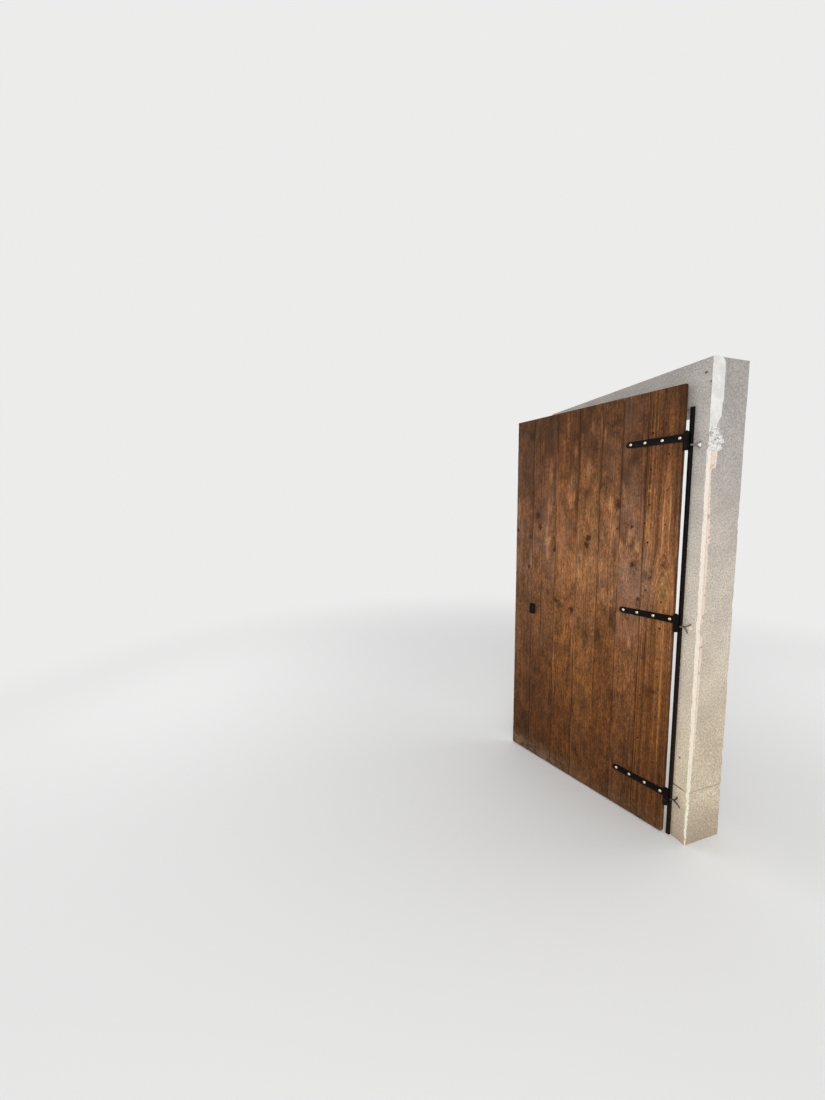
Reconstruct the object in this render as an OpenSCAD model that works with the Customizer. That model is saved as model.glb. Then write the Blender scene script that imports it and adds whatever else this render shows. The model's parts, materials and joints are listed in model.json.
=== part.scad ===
// Plank door standing ajar in its stone surround.
// Origin: middle of the doorway, on the floor, in the plane of the surround's room-side face.
// +X to the hinge side as seen from the room, +Y through the wall to the outdoors, +Z up.
// The leaf is drawn closed, flat on the room-side face of the stones, and is then swung
// about the hinge pins by the angle at which it stands.

/* [Doorway] */
// Height of the clear opening
opening_h = 1995; // [1850:5:2150]
// Depth of the stones through the wall
wall_t = 215; // [150:5:330]
// Width of each jamb's face at the head
jamb_w = 90; // [84:1:140]
// How much wider each jamb is at the floor than at the head
jamb_batter = 7; // [0:1:40]
// Height of the lintel
lintel_h = 190; // [120:5:260]
// Height of the block that each jamb stands on
plinth_h = 258; // [200:2:420]

/* [Boards] */
// Width of the board at the free edge
board_1_w = 129; // [105:1:160]
// Width of the second board
board_2_w = 162; // [110:1:190]
// Width of the third board, which is in two lengths
board_3_w = 136; // [110:1:180]
// Width of the fourth board
board_4_w = 126; // [110:1:180]
// Width of the fifth board, which is in two lengths
board_5_w = 109; // [90:1:180]
// Width of the sixth board
board_6_w = 118; // [90:1:180]
// Width of the board at the hinge edge
board_7_w = 148; // [110:1:180]
// Thickness of the boards
board_t = 25; // [20:1:32]
// Open joint that shows between two boards
joint_gap = 0.8; // [0.4:0.1:2]
// Chamfer along the edges of a board
arris = 1.6; // [0.5:0.1:3]
// Thickness of the tongue
tongue_t = 8; // [5:0.5:10]
// How far the tongue stands out of its board
tongue_reach = 7; // [5:0.5:10]
// Play of the tongue in its groove, on every side
tongue_play = 0.4; // [0.2:0.1:0.8]

/* [Leaf] */
// Angle at which the leaf stands open
ajar = 16.3; // [0:0.1:60]
// Gap between the floor and the leaf
floor_gap = 8; // [6:1:30]
// How far the leaf covers the lintel
head_lap = 100; // [30:5:110]
// How far the leaf covers the far jamb
far_lap = 62; // [40:1:75]
// Gap between the closed leaf and the stones
leaf_gap = 8; // [6:0.5:12]

/* [Ledges and braces] */
// Height of a ledge across the back of the boards
ledge_w = 120; // [90:5:150]
// Thickness of the ledges and braces
ledge_t = 28; // [20:1:34]
// Chamfer along the outer edges of a ledge
ledge_chamfer = 7; // [2:1:9]
// Distance from the hinge edge of the leaf to the end of a ledge
ledge_inset = 36; // [30:1:60]
// Distance from the far reveal to the end of a ledge
ledge_reveal_gap = 15; // [10:1:40]
// Width of a brace, measured along the ledges
brace_w = 130; // [80:5:150]
// Distance from the end of a ledge to the brace beside it
brace_inset = 20; // [10:5:60]
// Gap between the lock case and the head of the lower brace
brace_lock_gap = 12; // [5:1:30]

/* [Straps] */
// Height of the middle strap above the floor
middle_strap_z = 1052; // [1010:2:1150]
// Distance from the top of the leaf to the middle of the top strap
top_strap_drop = 231; // [150:1:300]
// Distance from the foot of the leaf to the middle of the bottom strap
bottom_strap_rise = 203; // [150:1:300]
// Length of a strap on the boards
strap_l = 246; // [200:2:320]
// Height of a strap at the hinge edge
strap_root_h = 33; // [28:1:34]
// Height of a strap at its round tip
strap_tip_h = 29; // [20:1:33]
// Thickness of a strap
strap_t = 4.5; // [3:0.5:6]
// Top of the eye above the middle of the strap
eye_rise = 26; // [20:1:32]
// Foot of the eye below the middle of the strap
eye_drop = 17; // [17:1:24]
// Wall of the eye round the pin
eye_wall = 4.4; // [3:0.2:4.4]

/* [Pintles] */
// Diameter of a hinge pin
pin_d = 10; // [8:0.5:10]
// Play of the pin in the eye, all round
pin_play = 0.1; // [0.05:0.05:0.3]
// How far the pin stands out above the eye
pin_over = 4; // [2:1:10]
// Chamfer round the top of the pin
pin_chamfer = 1.5; // [0.5:0.5:2]
// Height of the block under the pin
pintle_h = 37; // [24:1:60]
// Width of the web that joins the block to the bar
pintle_web_w = 8; // [6:1:12]
// Gap between the eye and the block it turns on
bearing_gap = 0.5; // [0.3:0.1:1]

/* [Hanging post] */
// Side of the square bar
post_w = 14; // [12:1:20]
// Distance from the edge of the opening to the bar
post_inset = 12; // [8:1:16]
// Gap between the bar and the hinge edge of the closed leaf
post_gap = 6; // [5.5:0.5:8]
// Chamfer along the edges of the bar
post_chamfer = 1; // [0.5:0.1:1.5]

/* [Wall ties] */
// Thickness of a tie
tie_t = 2.5; // [2:0.5:4]
// Height of the stem of a tie
tie_w = 7; // [5:0.5:10]
// How far the stem of a tie runs along the jamb before it forks
tie_stem = 6; // [4:1:12]
// Width of one prong of the fork
prong_w = 6; // [4:0.5:8]
// How far the upper prong of the top tie runs along the jamb
top_upper_run = 27; // [15:1:36]
// How far the upper prong of the top tie is bent up
top_upper_rise = 11; // [8:1:30]
// How far the lower prong of the top tie runs along the jamb
top_lower_run = 24; // [15:1:36]
// How far the lower prong of the top tie is bent down
top_lower_drop = 20; // [8:1:30]
// How far the upper prong of the middle tie runs along the jamb
middle_upper_run = 34; // [15:1:36]
// How far the upper prong of the middle tie is bent up
middle_upper_rise = 22; // [8:1:30]
// How far the lower prong of the middle tie runs along the jamb
middle_lower_run = 18; // [15:1:36]
// How far the lower prong of the middle tie is bent down
middle_lower_drop = 26; // [8:1:30]
// How far the upper prong of the bottom tie runs along the jamb
bottom_upper_run = 18; // [15:1:36]
// How far the upper prong of the bottom tie is bent up
bottom_upper_rise = 27; // [8:1:30]
// How far the lower prong of the bottom tie runs along the jamb
bottom_lower_run = 34; // [15:1:36]
// How far the lower prong of the bottom tie is bent down
bottom_lower_drop = 17; // [8:1:30]
// Distance from the middle of a strap down to the tie below it
tie_drop = 31; // [26:1:50]

/* [Lock] */
// Gap between the middle ledge and the lock case
lock_ledge_gap = 6; // [1:1:20]
// Distance from the free edge of the leaf to the keyhole
keyhole_inset = 138; // [130:1:160]
// Width of the plate round the keyhole
plate_w = 42; // [30:1:50]
// Height of the plate round the keyhole
plate_h = 66; // [50:1:90]
// Thickness of the plate round the keyhole
plate_t = 3; // [2:0.5:4]
// Round of the plate's corners
plate_r = 12; // [3:1:14]
// Diameter of the round part of the keyhole
keyhole_d = 12; // [8:1:14]
// Distance from the keyhole to the bolt end of the lock case
lock_front = 62; // [50:1:65]
// Width of the lock case
lock_w = 130; // [110:2:150]
// Height of the lock case
lock_h = 80; // [60:2:90]
// Depth of the lock case
lock_t = 36; // [30:1:44]
// Wall of the lock case
lock_wall = 2; // [1.5:0.5:3]
// Chamfer along the outer edges of the lock case
lock_chamfer = 3; // [1:0.5:5]
// Height of the keeper
keeper_h = 60; // [50:1:76]
// Width of the keeper
keeper_w = 20; // [18:1:26]
// Thickness of the keeper
keeper_t = 5; // [3:0.5:6]
// Width of the bolt's slot in the keeper
keeper_slot_w = 9; // [6:1:12]
// Height of the bolt's slot in the keeper
keeper_slot_h = 18; // [12:1:30]

/* [Render on the returns] */
// Thickness of the render on the outer sides of the stones
render_t = 4; // [2:0.5:8]
// Hair joint between the render and the stones
render_joint = 0.02; // [0.01:0.01:0.1]
// Depth of the smooth render at the head
head_render_d = 72; // [50:1:110]
// Height of the smooth render at the head
head_render_h = 288; // [230:2:340]
// Round of its top back corner
head_render_r = 28; // [5:1:40]
// Depth of the smooth render at its foot
head_render_foot_d = 42; // [20:1:50]
// Height of the slant that narrows it towards its foot
head_render_slant_h = 48; // [20:1:90]
// Height of the broken mortar below the smooth render
mortar_h = 100; // [40:2:140]
// Depth of the broken mortar where it is deepest
mortar_d = 88; // [74:1:100]
// Depth of the broken mortar at its head
mortar_head_d = 57; // [40:1:72]
// Depth of the broken mortar at its foot
mortar_foot_d = 64; // [40:1:72]
// Depth of the lower render just below the mortar
side_render_top_d = 55; // [40:1:80]
// Height of that deep top
side_render_top_h = 76; // [30:2:160]
// Depth of the lower render below its deep top
side_render_mid_d = 36; // [24:1:38]
// Height above the floor from which the lower render narrows
side_render_narrow_z = 900; // [500:10:1300]
// Depth of the lower render at the top of the plinth
side_render_low_d = 17; // [10:1:22]
// Depth of the lower render at the floor
side_render_foot_d = 8; // [6:1:10]

/* [Hidden] */
ROOT_NODES = ["near_plinth", "far_plinth", "near_jamb", "far_jamb", "lintel",
    "near_head_render", "near_mortar", "near_side_render",
    "far_head_render", "far_mortar", "far_side_render",
    "hanging_post", "pintle_top", "pintle_middle", "pintle_bottom",
    "wall_tie_top", "wall_tie_middle", "wall_tie_bottom", "lock_keeper"];
LEAF_NODES = ["board_1", "board_2", "board_3_upper", "board_3_lower", "board_4",
    "board_5_upper", "board_5_lower", "board_6", "board_7",
    "ledge_top", "ledge_middle", "ledge_bottom", "brace_upper", "brace_lower",
    "strap_top", "strap_middle", "strap_bottom", "keyhole_plate", "rim_lock"];
$fn = 48;

STONE = [0.66, 0.64, 0.60];
WHITE_RENDER = [0.90, 0.89, 0.86];
CREAM_RENDER = [0.86, 0.78, 0.70];
MORTAR = [0.80, 0.78, 0.73];
BLACK_IRON = [0.10, 0.10, 0.11];
PALE_METAL = [0.72, 0.70, 0.66];
DARK_BOARD = [0.42, 0.27, 0.17];
WARM_BOARD = [0.55, 0.34, 0.18];
BACK_TIMBER = [0.46, 0.36, 0.26];

board_ws = [board_1_w, board_2_w, board_3_w, board_4_w, board_5_w, board_6_w, board_7_w];
// Distance from the free edge of the leaf to the start of board i, counted from 0
function board_start(i) = i == 0 ? 0 : board_start(i - 1) + board_ws[i - 1];
leaf_w = board_start(len(board_ws));

near_lap = post_inset - post_gap;
opening_w = leaf_w - near_lap - far_lap;
reveal_x = opening_w / 2;
head_x = reveal_x + jamb_w;
foot_x = head_x + jamb_batter;
total_h = opening_h + lintel_h;

free_x = -reveal_x - far_lap;
hinge_x = reveal_x + near_lap;
leaf_top = opening_h + head_lap;
back_y = -leaf_gap;
front_y = back_y - board_t;

post_x = reveal_x + post_inset;
pin_x = post_x + post_w / 2;
pin_y = front_y - strap_t / 2;
eye_r = pin_d / 2 + pin_play + eye_wall;
strap_zs = [leaf_top - top_strap_drop, middle_strap_z, floor_gap + bottom_strap_rise];

ledge_near_x = hinge_x - ledge_inset;
ledge_far_x = -reveal_x + ledge_reveal_gap;
keyhole_x = free_x + keyhole_inset;
keyhole_z = middle_strap_z - ledge_w / 2 - lock_ledge_gap - lock_h / 2;
lock_x = keyhole_x - lock_front;
bolt_y = back_y + lock_t / 2;

render_foot_z = total_h - head_render_h;
mortar_foot_z = render_foot_z - mortar_h;

// Play that lets a cut run past the faces it opens
cut = 1;

// The outer side of a jamb at a height above the floor
function side_x(z) = head_x + jamb_batter * max(0, opening_h - z) / opening_h;

// Swings what is drawn on the closed leaf out to where the leaf stands
module swung() {
    translate([pin_x, pin_y, 0]) rotate([0, 0, ajar]) translate([-pin_x, -pin_y, 0]) children();
}

// Draws an outline in X and Z, thick from y0 to y1
module in_xz(y0, y1) {
    translate([0, y1, 0]) rotate([90, 0, 0]) linear_extrude(height = y1 - y0) children();
}

// Draws an outline in Y and Z, thick from x0 to x1
module in_yz(x0, x1) {
    translate([x0, 0, 0]) rotate([90, 0, 90]) linear_extrude(height = x1 - x0) children();
}

// Mirrors what is drawn at the hinge side to the far side
module far_side() {
    mirror([1, 0, 0]) children();
}

// One stone of a jamb between two heights, wider towards the floor
module jamb_stone(z0, z1) {
    in_xz(0, wall_t)
        polygon([[reveal_x, z0], [side_x(z0), z0], [side_x(z1), z1], [reveal_x, z1]]);
}

// Strip along the outer side of the stones, as thick as the render, between two heights
module side_skin(z0, z1) {
    zs = [z0, min(max(opening_h, z0), z1), z1];
    in_xz(0, wall_t) polygon(concat(
        [for (z = zs) [side_x(z) + render_joint, z]],
        [for (i = [2 : -1 : 0]) [side_x(zs[i]) + render_t, zs[i]]]));
}

// Render on a return: its outline in Y and Z is the child
module on_return(z0, z1) {
    intersection() {
        side_skin(z0, z1);
        in_yz(head_x - cut, foot_x + render_t + cut) children();
    }
}

module near_plinth() { color(STONE) jamb_stone(0, plinth_h); }
module far_plinth() { color(STONE) far_side() jamb_stone(0, plinth_h); }
module near_jamb() { color(STONE) jamb_stone(plinth_h, opening_h); }
module far_jamb() { color(STONE) far_side() jamb_stone(plinth_h, opening_h); }

module lintel() {
    color(STONE) translate([-head_x, 0, opening_h]) cube([2 * head_x, wall_t, lintel_h]);
}

// Smooth white render on the end of the lintel, with its top back corner rounded off and its
// foot cut back at a slant
module head_render() {
    slant_z = render_foot_z + head_render_slant_h;
    round_z = total_h - head_render_r;
    on_return(render_foot_z, total_h) union() {
        polygon([
            [0, render_foot_z], [head_render_foot_d, render_foot_z], [head_render_d, slant_z],
            [head_render_d, round_z], [0, round_z]]);
        translate([0, round_z]) square([head_render_d - head_render_r, head_render_r]);
        translate([head_render_d - head_render_r, round_z]) circle(r = head_render_r);
    }
}

// Broken mortar between the smooth render and the lower one
module return_mortar() {
    mid_z = (mortar_foot_z + render_foot_z) / 2;
    on_return(mortar_foot_z, render_foot_z) polygon([
        [0, mortar_foot_z], [mortar_foot_d, mortar_foot_z], [mortar_d, mid_z],
        [mortar_head_d, render_foot_z], [0, render_foot_z]]);
}

// Lower render on the return: deep at its top, then a strip that narrows towards the floor
module side_render() {
    step_z = mortar_foot_z - side_render_top_h;
    on_return(0, mortar_foot_z) polygon([
        [0, 0], [side_render_foot_d, 0], [side_render_low_d, plinth_h],
        [side_render_mid_d, side_render_narrow_z], [side_render_mid_d, step_z],
        [side_render_top_d, step_z], [side_render_top_d, mortar_foot_z], [0, mortar_foot_z]]);
}

module near_head_render() { color(WHITE_RENDER) head_render(); }
module near_mortar() { color(MORTAR) return_mortar(); }
module near_side_render() { color(CREAM_RENDER) side_render(); }
module far_head_render() { color(WHITE_RENDER) far_side() head_render(); }
module far_mortar() { color(MORTAR) far_side() return_mortar(); }
module far_side_render() { color(CREAM_RENDER) far_side() side_render(); }

module hanging_post() {
    c = post_chamfer;
    w = post_w;
    color(BLACK_IRON) translate([post_x, -post_w, 0]) linear_extrude(height = opening_h)
        polygon([[c, 0], [w - c, 0], [w, c], [w, w - c], [w - c, w], [c, w], [0, w - c], [0, c]]);
}

// Pin with a chamfered top, on a forged block that a web joins to the bar
module pintle(z) {
    block_top = z - eye_drop - bearing_gap;
    pin_top = z + eye_rise + pin_over;
    color(BLACK_IRON) union() {
        translate([pin_x - pintle_web_w / 2, pin_y, block_top - pintle_h])
            cube([pintle_web_w, -post_w - pin_y, pintle_h]);
        translate([pin_x, pin_y, block_top - pintle_h]) cylinder(r = eye_r, h = pintle_h);
        translate([pin_x, pin_y, block_top - cut])
            cylinder(d = pin_d, h = pin_top - pin_chamfer - block_top + cut);
        translate([pin_x, pin_y, pin_top - pin_chamfer])
            cylinder(d1 = pin_d, d2 = pin_d - 2 * pin_chamfer, h = pin_chamfer);
    }
}

// One prong of a tie's fork: an arc that leaves the stem at half the slope of its chord
module prong(run, rise) {
    slope = atan(rise / run);
    bend_r = norm([run, rise]) / (2 * sin(slope / 2));
    steps = 10;
    bend = [for (i = [0 : steps]) slope * (0.5 + i / steps)];
    inner_r = bend_r - prong_w / 2;
    outer_r = bend_r + prong_w / 2;
    translate([-bend_r * sin(bend[0]), bend_r * cos(bend[0])]) polygon(concat(
        [for (a = bend) inner_r * [sin(a), -cos(a)]],
        [for (i = [steps : -1 : 0]) outer_r * [sin(bend[i]), -cos(bend[i])]]));
}

// Tie that starts beside the pintle on the face of the bar, turns round its corner and
// runs along the jamb to a fishtail, which was opened by hand and so differs from tie to tie
module wall_tie(z, upper, lower) {
    web_x = pin_x + pintle_web_w / 2;
    bar_x = post_x + post_w;
    fork_x = bar_x + tie_stem;
    color(PALE_METAL) translate([0, 0, z - tie_drop]) union() {
        translate([0, 0, -tie_w / 2]) linear_extrude(height = tie_w) polygon([
            [web_x, -post_w], [bar_x, -post_w], [bar_x, 0], [fork_x + prong_w, 0],
            [fork_x + prong_w, -tie_t], [bar_x + tie_t, -tie_t],
            [bar_x + tie_t, -post_w - tie_t], [web_x, -post_w - tie_t]]);
        in_xz(-tie_t, 0) translate([fork_x, 0]) union() {
            prong(upper[0], upper[1]);
            mirror([0, 1]) prong(lower[0], lower[1]);
        }
    }
}

module pintle_top() { pintle(strap_zs[0]); }
module pintle_middle() { pintle(strap_zs[1]); }
module pintle_bottom() { pintle(strap_zs[2]); }
module wall_tie_top() {
    wall_tie(strap_zs[0], [top_upper_run, top_upper_rise], [top_lower_run, top_lower_drop]);
}

module wall_tie_middle() {
    wall_tie(strap_zs[1], [middle_upper_run, middle_upper_rise],
        [middle_lower_run, middle_lower_drop]);
}

module wall_tie_bottom() {
    wall_tie(strap_zs[2], [bottom_upper_run, bottom_upper_rise],
        [bottom_lower_run, bottom_lower_drop]);
}

// Iron plate on the far reveal, with the slot that the bolt goes into
module lock_keeper() {
    color(BLACK_IRON) translate([-reveal_x, bolt_y, keyhole_z]) difference() {
        translate([0, -keeper_w / 2, -keeper_h / 2]) cube([keeper_t, keeper_w, keeper_h]);
        translate([-cut, -keeper_slot_w / 2, -keeper_slot_h / 2])
            cube([keeper_t + 2 * cut, keeper_slot_w, keeper_slot_h]);
    }
}

// Plan of board i in tongue and groove, with its groove towards the free edge
module board_plan(i) {
    x0 = free_x + board_start(i) + (i == 0 ? 0 : joint_gap / 2);
    x1 = free_x + board_start(i + 1) - (i == len(board_ws) - 1 ? 0 : joint_gap / 2);
    mid = (front_y + back_y) / 2;
    groove_t = tongue_t + 2 * tongue_play;
    difference() {
        union() {
            polygon([
                [x0 + arris, front_y], [x1 - arris, front_y], [x1, front_y + arris],
                [x1, back_y - arris], [x1 - arris, back_y], [x0 + arris, back_y],
                [x0, back_y - arris], [x0, front_y + arris]]);
            if (i < len(board_ws) - 1)
                translate([x1 - cut, mid - tongue_t / 2]) square([tongue_reach + cut, tongue_t]);
        }
        if (i > 0)
            translate([x0 - cut, mid - groove_t / 2])
                square([tongue_reach - joint_gap + tongue_play + cut, groove_t]);
    }
}

module board(i, z0, z1) {
    color(i < 4 ? DARK_BOARD : WARM_BOARD)
        swung() translate([0, 0, z0]) linear_extrude(height = z1 - z0) board_plan(i);
}

module board_1() { board(0, floor_gap, leaf_top); }
module board_2() { board(1, floor_gap, leaf_top); }
module board_3_upper() { board(2, middle_strap_z + joint_gap / 2, leaf_top); }
module board_3_lower() { board(2, floor_gap, middle_strap_z - joint_gap / 2); }
module board_4() { board(3, floor_gap, leaf_top); }
module board_5_upper() { board(4, middle_strap_z + joint_gap / 2, leaf_top); }
module board_5_lower() { board(4, floor_gap, middle_strap_z - joint_gap / 2); }
module board_6() { board(5, floor_gap, leaf_top); }
module board_7() { board(6, floor_gap, leaf_top); }

// Ledge across the back of the boards, chamfered along its outer edges
module ledge(z) {
    outer_y = back_y + ledge_t;
    half_w = ledge_w / 2;
    color(BACK_TIMBER) swung() in_yz(ledge_far_x, ledge_near_x) polygon([
        [back_y, z - half_w], [outer_y - ledge_chamfer, z - half_w],
        [outer_y, z - half_w + ledge_chamfer], [outer_y, z + half_w - ledge_chamfer],
        [outer_y - ledge_chamfer, z + half_w], [back_y, z + half_w]]);
}

// Brace that rises from the hinge end of one ledge to head_x0 under the next
module brace(z0, z1, head_x0) {
    foot_x1 = ledge_near_x - brace_inset;
    color(BACK_TIMBER) swung() in_xz(back_y, back_y + ledge_t - ledge_chamfer) polygon([
        [foot_x1 - brace_w, z0], [foot_x1, z0], [head_x0 + brace_w, z1], [head_x0, z1]]);
}

module ledge_top() { ledge(strap_zs[0]); }
module ledge_middle() { ledge(strap_zs[1]); }
module ledge_bottom() { ledge(strap_zs[2]); }

module brace_upper() {
    brace(strap_zs[1] + ledge_w / 2, strap_zs[0] - ledge_w / 2, ledge_far_x + brace_inset);
}

module brace_lower() {
    brace(strap_zs[2] + ledge_w / 2, strap_zs[1] - ledge_w / 2, lock_x + lock_w + brace_lock_gap);
}

// Flat bar that tapers to a round tip and sweeps up along its top edge into the eye
module strap(z) {
    tip_x = hinge_x - strap_l + strap_tip_h / 2;
    sweep_r = eye_rise - strap_root_h / 2;
    sweep_x = pin_x - eye_r - sweep_r;
    color(BLACK_IRON) swung() difference() {
        union() {
            in_xz(front_y - strap_t, front_y) union() {
                translate([tip_x, z]) circle(d = strap_tip_h);
                polygon([
                    [tip_x, z - strap_tip_h / 2], [pin_x, z - strap_root_h / 2],
                    [pin_x, z + strap_root_h / 2], [tip_x, z + strap_tip_h / 2]]);
                difference() {
                    translate([sweep_x, z]) square([pin_x - sweep_x, eye_rise]);
                    translate([sweep_x, z + eye_rise]) circle(r = sweep_r);
                }
            }
            translate([pin_x, pin_y, z - eye_drop]) cylinder(r = eye_r, h = eye_drop + eye_rise);
        }
        translate([pin_x, pin_y, z - eye_drop - cut])
            cylinder(r = pin_d / 2 + pin_play, h = eye_drop + eye_rise + 2 * cut);
    }
}

module strap_top() { strap(strap_zs[0]); }
module strap_middle() { strap(strap_zs[1]); }
module strap_bottom() { strap(strap_zs[2]); }

// Plate with round corners and a keyhole through it
module keyhole_plate() {
    dx = plate_w / 2 - plate_r;
    dz = plate_h / 2 - plate_r;
    color(BLACK_IRON) swung() in_xz(front_y - plate_t, front_y) translate([keyhole_x, keyhole_z])
        difference() {
            union() {
                square([plate_w, 2 * dz], center = true);
                square([2 * dx, plate_h], center = true);
                for (sx = [-1, 1], sz = [-1, 1]) translate([sx * dx, sz * dz]) circle(r = plate_r);
            }
            translate([0, keyhole_d / 2]) circle(d = keyhole_d);
            translate([-keyhole_d / 4, -keyhole_d * 1.2]) square([keyhole_d / 2, keyhole_d * 1.5]);
        }
}

// Section of the lock case, length by depth, with its two outer edges chamfered
module lock_section(length) {
    c = lock_chamfer;
    polygon([[0, 0], [length, 0], [length, lock_t - c], [length - c, lock_t], [c, lock_t],
        [0, lock_t - c]]);
}

// Hollow case on the back of the boards, open towards them
module rim_lock() {
    hollow_t = lock_t - lock_wall - lock_chamfer / 2;
    color(BLACK_IRON) swung() translate([lock_x, back_y, keyhole_z - lock_h / 2]) difference() {
        intersection() {
            linear_extrude(height = lock_h) lock_section(lock_w);
            rotate([90, 0, 90]) linear_extrude(height = lock_w) mirror([1, -1]) lock_section(lock_h);
        }
        translate([lock_wall, -cut, lock_wall])
            cube([lock_w - 2 * lock_wall, hollow_t + cut, lock_h - 2 * lock_wall]);
    }
}

near_plinth();
far_plinth();
near_jamb();
far_jamb();
lintel();
near_head_render();
near_mortar();
near_side_render();
far_head_render();
far_mortar();
far_side_render();
hanging_post();
pintle_top();
pintle_middle();
pintle_bottom();
wall_tie_top();
wall_tie_middle();
wall_tie_bottom();
lock_keeper();
board_1();
board_2();
board_3_upper();
board_3_lower();
board_4();
board_5_upper();
board_5_lower();
board_6();
board_7();
ledge_top();
ledge_middle();
ledge_bottom();
brace_upper();
brace_lower();
strap_top();
strap_middle();
strap_bottom();
keyhole_plate();
rim_lock();
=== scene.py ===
# %% [markdown]
# An old plank door hangs ajar in a stone surround. Its leaf turns on three iron hinges beside a
# square iron bar. The construction is already exact and comes in as a fixed frame. This lesson
# gives every piece its surface: worn stone, broken lime render, oiled planks and black iron.
# The frame also says where things are, so that nothing below has to be fitted by eye.

import json
from math import atan2, cos, degrees, pi, radians, sin

import bmesh
import bpy
from mathutils import Matrix, Vector, noise


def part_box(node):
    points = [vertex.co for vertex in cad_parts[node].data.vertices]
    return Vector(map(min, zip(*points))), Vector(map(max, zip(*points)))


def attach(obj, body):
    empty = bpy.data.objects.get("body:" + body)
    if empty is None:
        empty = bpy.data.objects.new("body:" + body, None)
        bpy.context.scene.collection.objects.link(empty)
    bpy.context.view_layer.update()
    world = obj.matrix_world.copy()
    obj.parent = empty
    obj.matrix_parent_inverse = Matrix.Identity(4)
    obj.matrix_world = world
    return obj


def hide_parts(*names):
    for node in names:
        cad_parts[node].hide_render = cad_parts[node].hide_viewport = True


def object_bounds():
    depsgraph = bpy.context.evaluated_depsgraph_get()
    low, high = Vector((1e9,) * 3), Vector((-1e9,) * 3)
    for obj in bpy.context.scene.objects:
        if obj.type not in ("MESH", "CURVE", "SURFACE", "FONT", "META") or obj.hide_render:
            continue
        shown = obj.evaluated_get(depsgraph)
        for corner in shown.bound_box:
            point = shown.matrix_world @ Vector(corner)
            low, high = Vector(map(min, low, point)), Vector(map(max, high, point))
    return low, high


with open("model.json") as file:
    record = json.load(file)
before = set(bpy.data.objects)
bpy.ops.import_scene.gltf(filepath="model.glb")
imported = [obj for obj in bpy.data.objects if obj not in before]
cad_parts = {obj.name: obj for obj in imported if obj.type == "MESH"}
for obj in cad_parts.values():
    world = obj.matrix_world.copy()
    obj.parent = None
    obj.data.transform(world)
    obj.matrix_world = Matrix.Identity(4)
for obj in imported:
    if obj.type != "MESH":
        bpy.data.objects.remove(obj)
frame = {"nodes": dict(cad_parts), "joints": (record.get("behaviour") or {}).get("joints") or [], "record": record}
cad_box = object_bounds()
nodes = frame["nodes"]
MM = 0.001
print(f"{len(nodes)} nodes in a box from {cad_box[0]} to {cad_box[1]}")

# %% [markdown]
# The leaf stands at an angle, which makes its boards awkward to work on. A joiner would lay the
# door flat on a bench, and so does this script: pieces of the leaf are made as if the door were
# shut, where boards run straight along X and Z, and are then swung about the hinge pin. The
# joint in the frame gives the pin and, as its lower limit, how far the door has to turn to shut.

# %% The bench: coordinates of the closed leaf
hinge = frame["joints"][0]
pin = Vector(hinge["pos_m"])
ajar = radians(-hinge["range_deg"][0])
swing = Matrix.Translation(pin) @ Matrix.Rotation(ajar, 4, "Z") @ Matrix.Translation(-pin)
unswing = swing.inverted()
BOARDS = ["board_1", "board_2", "board_3_upper", "board_3_lower", "board_4",
          "board_5_upper", "board_5_lower", "board_6", "board_7"]


def box_of(points):
    """Lowest and highest corner of some points"""
    return (Vector([min(p[i] for p in points) for i in range(3)]),
            Vector([max(p[i] for p in points) for i in range(3)]))


def closed_box(*names):
    """Lowest and highest corner of pieces of the leaf, as they lie when it is shut"""
    return box_of([unswing @ v.co for name in names for v in nodes[name].data.vertices])


leaf_lo, leaf_hi = closed_box(*BOARDS)
print(f"leaf {(leaf_hi.x - leaf_lo.x) / MM:.0f} mm wide, open by {degrees(ajar):.1f} degrees")


def on_leaf(s, z, out=0.0):
    """A point s mm from the free edge and z mm up, out mm in front of the boards' face"""
    return Vector((leaf_lo.x + s * MM, leaf_lo.y - out * MM, z * MM))


# %% [markdown]
# The photograph was taken with a very wide lens, from the hinge side of the doorway and at eye
# height. A wide lens stretches what is near the edge of the picture, so a door only looks right
# from the same spot with the same lens. The camera's heading, pitch and roll are turns about its
# own axes, one after the other, which is how a person would set it on a tripod.

# %% Camera
EYE = Vector((1.7655, -1.7147, 1.550))
HEADING, PITCH, ROLL = radians(72.13), radians(-5.50), radians(-0.37)
LENS_MM, SENSOR_MM = 13.02, 36.0

camera = bpy.data.objects.new("camera", bpy.data.cameras.new("camera"))
camera.data.lens, camera.data.sensor_width = LENS_MM, SENSOR_MM
camera.data.clip_start, camera.data.clip_end = 0.05, 100.0
turn = Matrix.Rotation(HEADING, 4, "Z") @ Matrix.Rotation(pi / 2 + PITCH, 4, "X")
camera.matrix_world = Matrix.Translation(EYE) @ turn @ Matrix.Rotation(ROLL, 4, "Z")
bpy.context.scene.collection.objects.link(camera)
bpy.context.scene.camera = camera
print(f"camera at {EYE[:]} with a {LENS_MM} mm lens")

# %% [markdown]
# A material is a small graph of nodes. Written out in full, each node takes five or six lines,
# and the idea drowns. The class below lets one call add one node, with its inputs given as
# numbers, colours or the outputs of other nodes, so a finish reads like a recipe.

# %% Shorthand for materials
def srgb(red, green, blue):
    """A colour as a colour picker shows it, 0 to 255, as the linear colour that a shader takes"""
    def linear(c):
        return c / 12.92 if c <= 0.04045 else ((c + 0.055) / 1.055) ** 2.4
    return (*[linear(c / 255) for c in (red, green, blue)], 1.0)


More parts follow.
